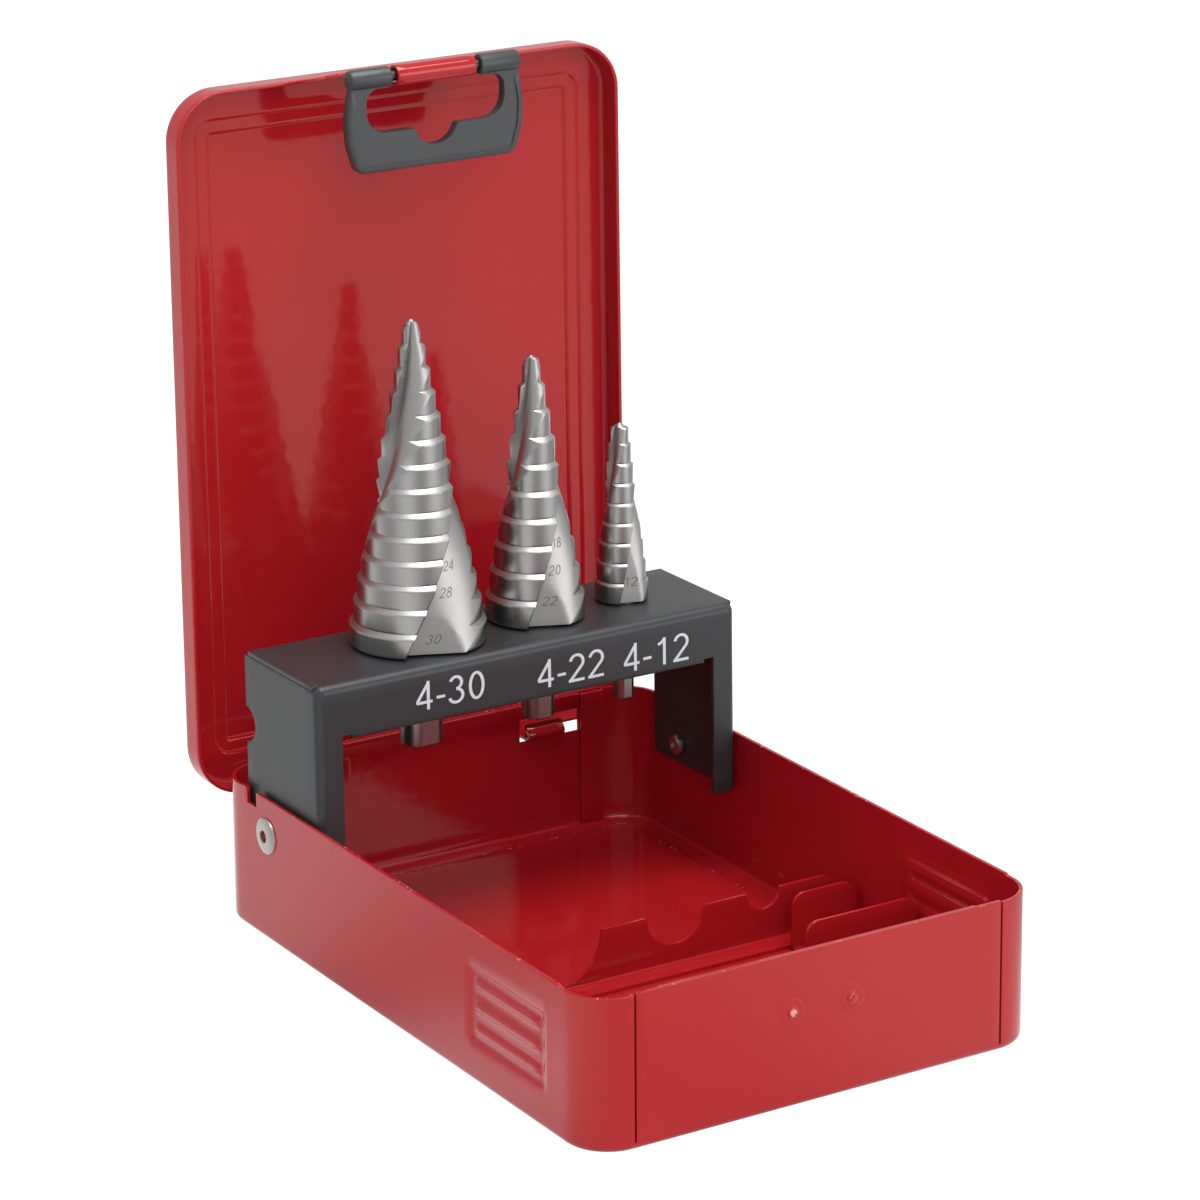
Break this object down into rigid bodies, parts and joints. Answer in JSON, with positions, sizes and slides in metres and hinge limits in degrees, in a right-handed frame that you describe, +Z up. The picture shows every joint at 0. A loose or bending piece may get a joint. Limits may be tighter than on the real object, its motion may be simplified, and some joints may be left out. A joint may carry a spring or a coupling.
{
  "type": "drill bit case",
  "caption": "Hinged red sheet-metal case with a fold-up black bracket holding stepped cone drill bits and a plastic hang latch.",
  "frame": {"origin": "bottom centre of the open case's box, on the surface it stands on", "axes": "+X to the right along the front, -Y to the front where it opens, +Z up"},
  "size_m": [0.1116, 0.172, 0.1868],
  "materials": {
    "red_enamel": "gloss",
    "black_enamel": "satin",
    "bit_steel": "ground",
    "rivet_metal": "plain",
    "mandrel_steel": "plain",
    "latch_plastic": "satin",
    "pin_steel": "blackened"
  },
  "bodies": {
    "base": {"base_tray": "red_enamel", "bit_cradle": "red_enamel", "divider_channel": "red_enamel", "rivet_left": "rivet_metal", "rivet_right": "rivet_metal", "mandrel_left": "mandrel_steel", "mandrel_right": "mandrel_steel"},
    "lid": {"lid": "red_enamel"},
    "pin": {"latch_pin": "pin_steel"},
    "latch": {"latch": "latch_plastic"},
    "holder": {"bit_holder": "black_enamel"},
    "bit_30": {"step_bit_30": "bit_steel"},
    "bit_22": {"step_bit_22": "bit_steel"},
    "bit_12": {"step_bit_12": "bit_steel"}
  },
  "joints": [
    {"name": "lid_swing", "type": "hinge", "parent": "base", "child": "lid", "pos_m": [0, 0.07053, 0.0255], "axis": [-1, 0, 0], "range_deg": [-90.7, 0]},
    {"name": "holder_fold", "type": "hinge", "parent": "base", "child": "holder", "pos_m": [0, 0.04753, 0.0245], "axis": [-1, 0, 0], "range_deg": [-90.7, 0]},
    {"name": "pin_turn", "type": "hinge", "parent": "lid", "child": "pin", "pos_m": [0, 0.06497, 0.18448], "axis": [-1, 0, 0], "range_deg": [0, 128.75]},
    {"name": "latch_flip", "type": "hinge", "parent": "pin", "child": "latch", "pos_m": [0, 0.06497, 0.18448], "axis": [-1, 0, 0], "range_deg": [0, 120]},
    {"name": "bit_30_lift", "type": "slide", "parent": "holder", "child": "bit_30", "axis": [0, 0.0122, 0.9999], "range_m": [0, 0.03]},
    {"name": "bit_22_lift", "type": "slide", "parent": "holder", "child": "bit_22", "axis": [0, 0.0122, 0.9999], "range_m": [0, 0.03]},
    {"name": "bit_12_lift", "type": "slide", "parent": "holder", "child": "bit_12", "axis": [0, 0.0122, 0.9999], "range_m": [0, 0.03]}
  ],
  "couplings": [
    {"joint": "holder_fold", "follows": "lid_swing", "ratio": 1},
    {"joint": "pin_turn", "follows": "lid_swing", "ratio": -1.419}
  ]
}
